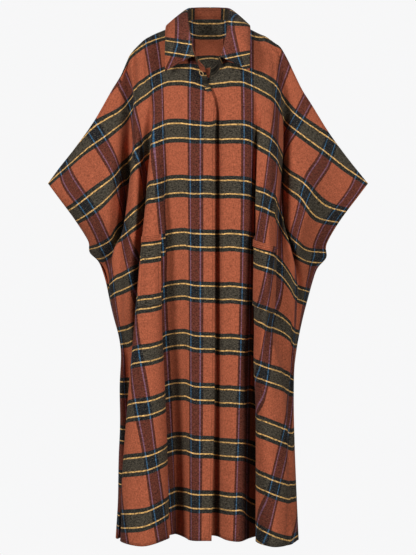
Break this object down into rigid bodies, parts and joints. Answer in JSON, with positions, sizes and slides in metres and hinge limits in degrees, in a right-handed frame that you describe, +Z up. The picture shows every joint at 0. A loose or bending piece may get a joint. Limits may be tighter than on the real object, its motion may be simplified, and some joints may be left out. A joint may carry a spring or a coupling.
{
  "type": "plaid cape coat",
  "caption": "Long plaid wool cape coat with wide batwing sleeves, pointed collar, concealed front closing and patch pockets, in its hollow worn form.",
  "frame": {"origin": "middle of the neck base, where the wearer or a form holds the coat up", "axes": "+Z up, -Y out of the front, +X to the wearer's left"},
  "size_m": [0.8026, 0.4148, 1.3248],
  "materials": {
    "plaid": "brushed wool twill, matt",
    "plaid_trim": "brushed wool twill, matt",
    "button": "satin"
  },
  "bodies": {
    "root": {"front_right": "plaid", "front_left": "plaid", "back": "plaid", "fly_placket": "plaid_trim", "collar_stand": "plaid_trim", "collar_fall": "plaid_trim", "pocket_right": "plaid_trim", "pocket_left": "plaid_trim", "pocket_band_right": "plaid_trim", "pocket_band_left": "plaid_trim", "button_1": "button", "button_2": "button", "button_3": "button", "button_4": "button", "button_5": "button", "button_6": "button"}
  },
  "joints": []
}
